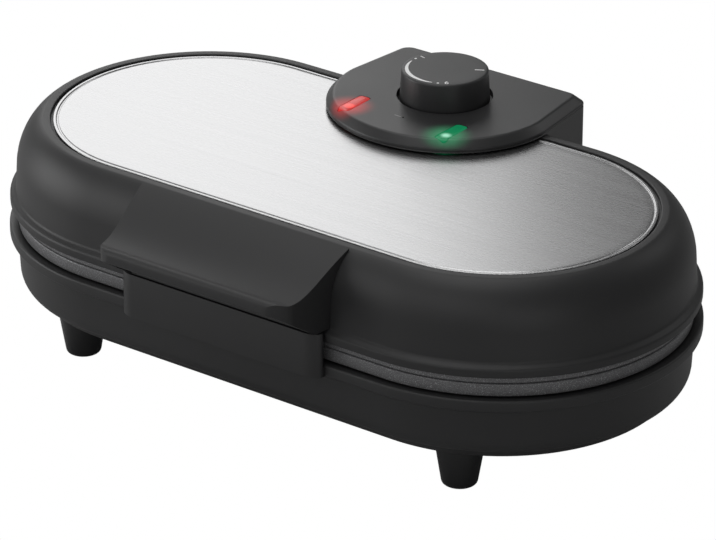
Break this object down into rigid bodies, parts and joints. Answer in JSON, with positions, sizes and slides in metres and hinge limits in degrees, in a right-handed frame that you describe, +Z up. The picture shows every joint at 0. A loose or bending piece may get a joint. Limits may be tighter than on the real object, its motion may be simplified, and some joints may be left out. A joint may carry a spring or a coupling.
{
  "type": "pancake maker",
  "caption": "Long round-ended countertop pancake maker with a rear-hinged lid, front handle, steel top panel, rear control console with dial and lamps, and tapered feet.",
  "frame": {"origin": "centre of the bounding box in plan, on the surface that the feet stand on", "axes": "+X along the long side to the right as seen from the handle, +Y from the handle towards the hinge, +Z up"},
  "size_m": [0.3422, 0.229, 0.1211],
  "materials": {
    "matte_black_plastic": "matt, finely textured moulded black",
    "satin_black_plastic": "satin moulded black",
    "coated_cast_plate": "dark non-stick coating with fine speckle",
    "brushed_steel": "brushed along the long side",
    "plated_sheet": "mill finish",
    "zinc_plated_steel": "zinc plated",
    "red_lens": "clear tinted, lit",
    "green_lens": "clear tinted, lit",
    "lamp_glass": "clear",
    "ceramic": "unglazed",
    "lead_sleeve": "woven glass sleeve"
  },
  "bodies": {
    "base": {"base_bottom_cover": "matte_black_plastic", "base_housing": "matte_black_plastic", "cord_inlet_gland": "satin_black_plastic", "cord_inlet_nut": "satin_black_plastic", "foot_front_left": "satin_black_plastic", "foot_front_right": "satin_black_plastic", "foot_rear_left": "satin_black_plastic", "foot_rear_right": "satin_black_plastic", "foot_screw_front_left": "zinc_plated_steel", "foot_screw_front_right": "zinc_plated_steel", "foot_screw_rear_left": "zinc_plated_steel", "foot_screw_rear_right": "zinc_plated_steel", "hinge_pin_left": "zinc_plated_steel", "hinge_pin_right": "zinc_plated_steel", "lower_cooking_plate": "coated_cast_plate", "lower_element_lead": "lead_sleeve", "lower_heat_reflector": "plated_sheet", "lower_heating_element": "plated_sheet", "lower_plate_screw_front_left": "zinc_plated_steel", "lower_plate_screw_front_right": "zinc_plated_steel", "lower_plate_screw_rear_left": "zinc_plated_steel", "lower_plate_screw_rear_right": "zinc_plated_steel", "lower_reflector_screw_front": "zinc_plated_steel", "lower_reflector_screw_rear": "zinc_plated_steel", "lower_thermal_cutout": "ceramic", "supply_lead": "lead_sleeve", "terminal_block": "ceramic"},
    "lid": {"bracket_screw_left": "zinc_plated_steel", "bracket_screw_right": "zinc_plated_steel", "console_screw_left": "zinc_plated_steel", "console_screw_right": "zinc_plated_steel", "control_console": "satin_black_plastic", "green_neon_lamp": "lamp_glass", "green_ready_lens": "green_lens", "handle": "matte_black_plastic", "handle_screw_left": "zinc_plated_steel", "handle_screw_right": "zinc_plated_steel", "lid_housing": "matte_black_plastic", "red_neon_lamp": "lamp_glass", "red_power_lens": "red_lens", "steel_top_panel": "brushed_steel", "thermostat_body": "ceramic", "thermostat_bracket": "plated_sheet", "upper_cooking_plate": "coated_cast_plate", "upper_element_lead": "lead_sleeve", "upper_heat_reflector": "plated_sheet", "upper_heating_element": "plated_sheet", "upper_plate_screw_front_left": "zinc_plated_steel", "upper_plate_screw_front_right": "zinc_plated_steel", "upper_plate_screw_rear_left": "zinc_plated_steel", "upper_plate_screw_rear_right": "zinc_plated_steel", "upper_reflector_screw_front": "zinc_plated_steel", "upper_reflector_screw_rear": "zinc_plated_steel", "upper_thermal_cutout": "ceramic"},
    "knob": {"temperature_knob": "satin_black_plastic", "thermostat_spindle": "zinc_plated_steel"}
  },
  "joints": [
    {"name": "lid_hinge", "type": "hinge", "parent": "base", "child": "lid", "pos_m": [0, 0.0996, 0.0602], "axis": [-1, 0, 0], "range_deg": [0, 95]},
    {"name": "knob_turn", "type": "hinge", "parent": "lid", "child": "knob", "pos_m": [0, 0.0747, 0.1073], "axis": [0, 0, 1], "range_deg": [-23, 240]}
  ]
}
